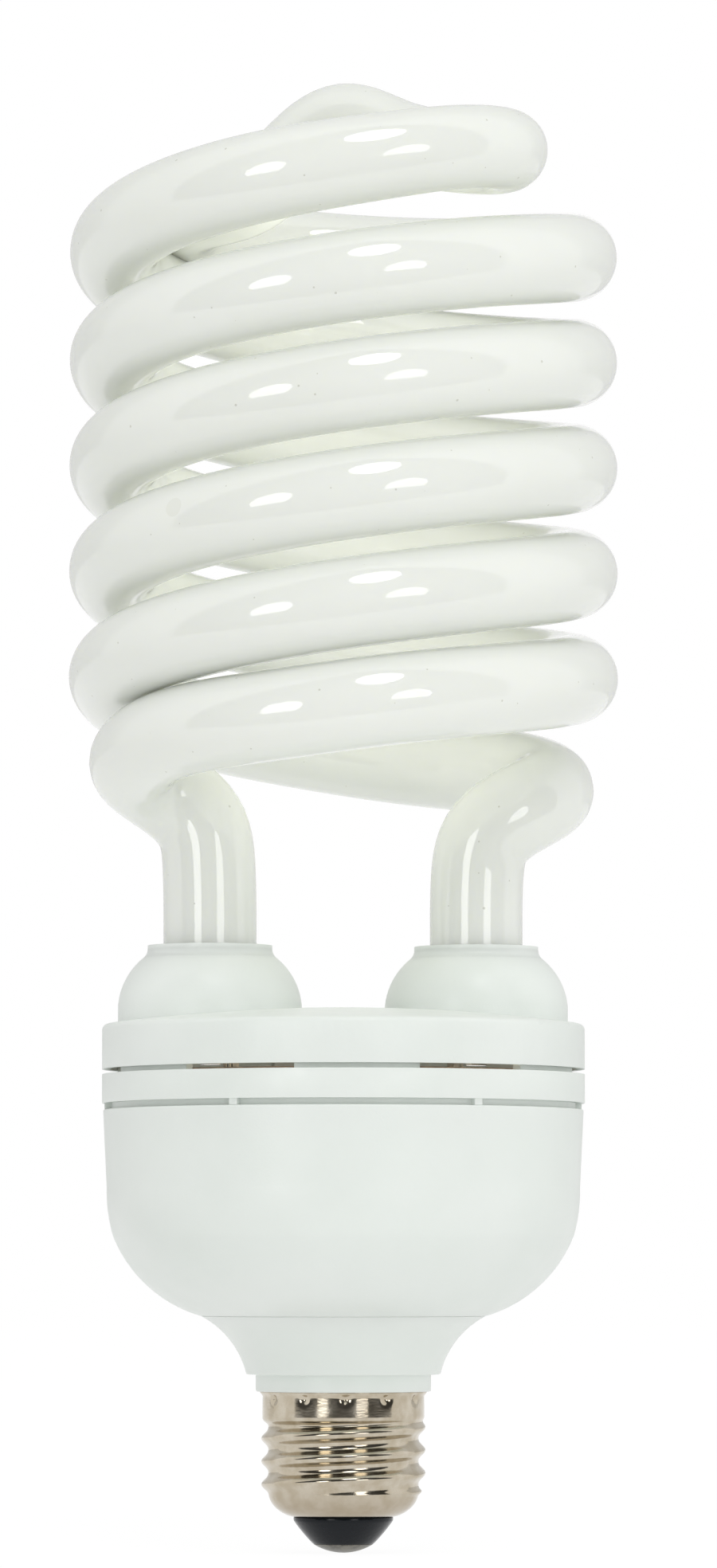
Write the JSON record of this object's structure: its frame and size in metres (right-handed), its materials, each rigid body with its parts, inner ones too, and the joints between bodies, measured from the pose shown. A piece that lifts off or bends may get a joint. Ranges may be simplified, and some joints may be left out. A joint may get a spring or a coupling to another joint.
{
  "type": "spiral energy saving bulb",
  "caption": "Compact fluorescent lamp: a double spiral glass tube on a vented ballast housing with a medium Edison screw base.",
  "frame": {"origin": "centre of the base contact's lowest point", "axes": "+Z along the lamp's axis from the screw base to the top of the spiral; +X towards the side of the tube's first leg; -Y towards the front"},
  "size_m": [0.0878, 0.0878, 0.2349],
  "materials": {
    "black_epoxy": "black moulded epoxy",
    "black_glass": "glossy black glass insulator",
    "bobbin_plastic": "black moulded bobbin",
    "capacitor_sleeve": "black shrink sleeve over an aluminium can",
    "ceramic_tan": "tan coated ceramic disc",
    "copper_wire": "enamelled copper wire",
    "ferrite": "dark grey sintered ferrite",
    "film_red": "dipped red-brown epoxy",
    "frosted_glass": "glossy glass tube with a white phosphor coat inside",
    "nickel_shell": "nickel-plated brass sheet",
    "phenolic_board": "brown phenolic board",
    "resistor_body": "beige lacquer",
    "sleeve_white": "woven glass sleeve",
    "tin_contact": "tinned brass contact",
    "tinned_wire": "tinned wire",
    "white_cement": "matt white cement",
    "white_housing": "white satin PBT moulding"
  },
  "bodies": {
    "root": {"glass_spiral": "frosted_glass", "tube_cement": "white_cement", "top_cap": "white_housing", "vent_ring": "white_housing", "lower_housing": "white_housing", "neck": "white_housing", "screw_shell": "nickel_shell", "insulator": "black_glass", "centre_contact": "tin_contact", "circuit_board": "phenolic_board", "wrap_pins": "tinned_wire", "lamp_leads": "tinned_wire", "bulk_capacitors": "capacitor_sleeve", "choke_core": "ferrite", "choke_bobbin": "bobbin_plastic", "choke_winding": "copper_wire", "toroid_core": "ferrite", "toroid_winding": "copper_wire", "power_transistors": "black_epoxy", "film_capacitors": "film_red", "rectifier_diodes": "black_epoxy", "resistors": "resistor_body", "fuse": "sleeve_white", "line_choke_core": "ferrite", "line_choke_winding": "copper_wire", "thermistor": "ceramic_tan", "live_wire": "sleeve_white", "neutral_wire": "sleeve_white"}
  },
  "joints": []
}
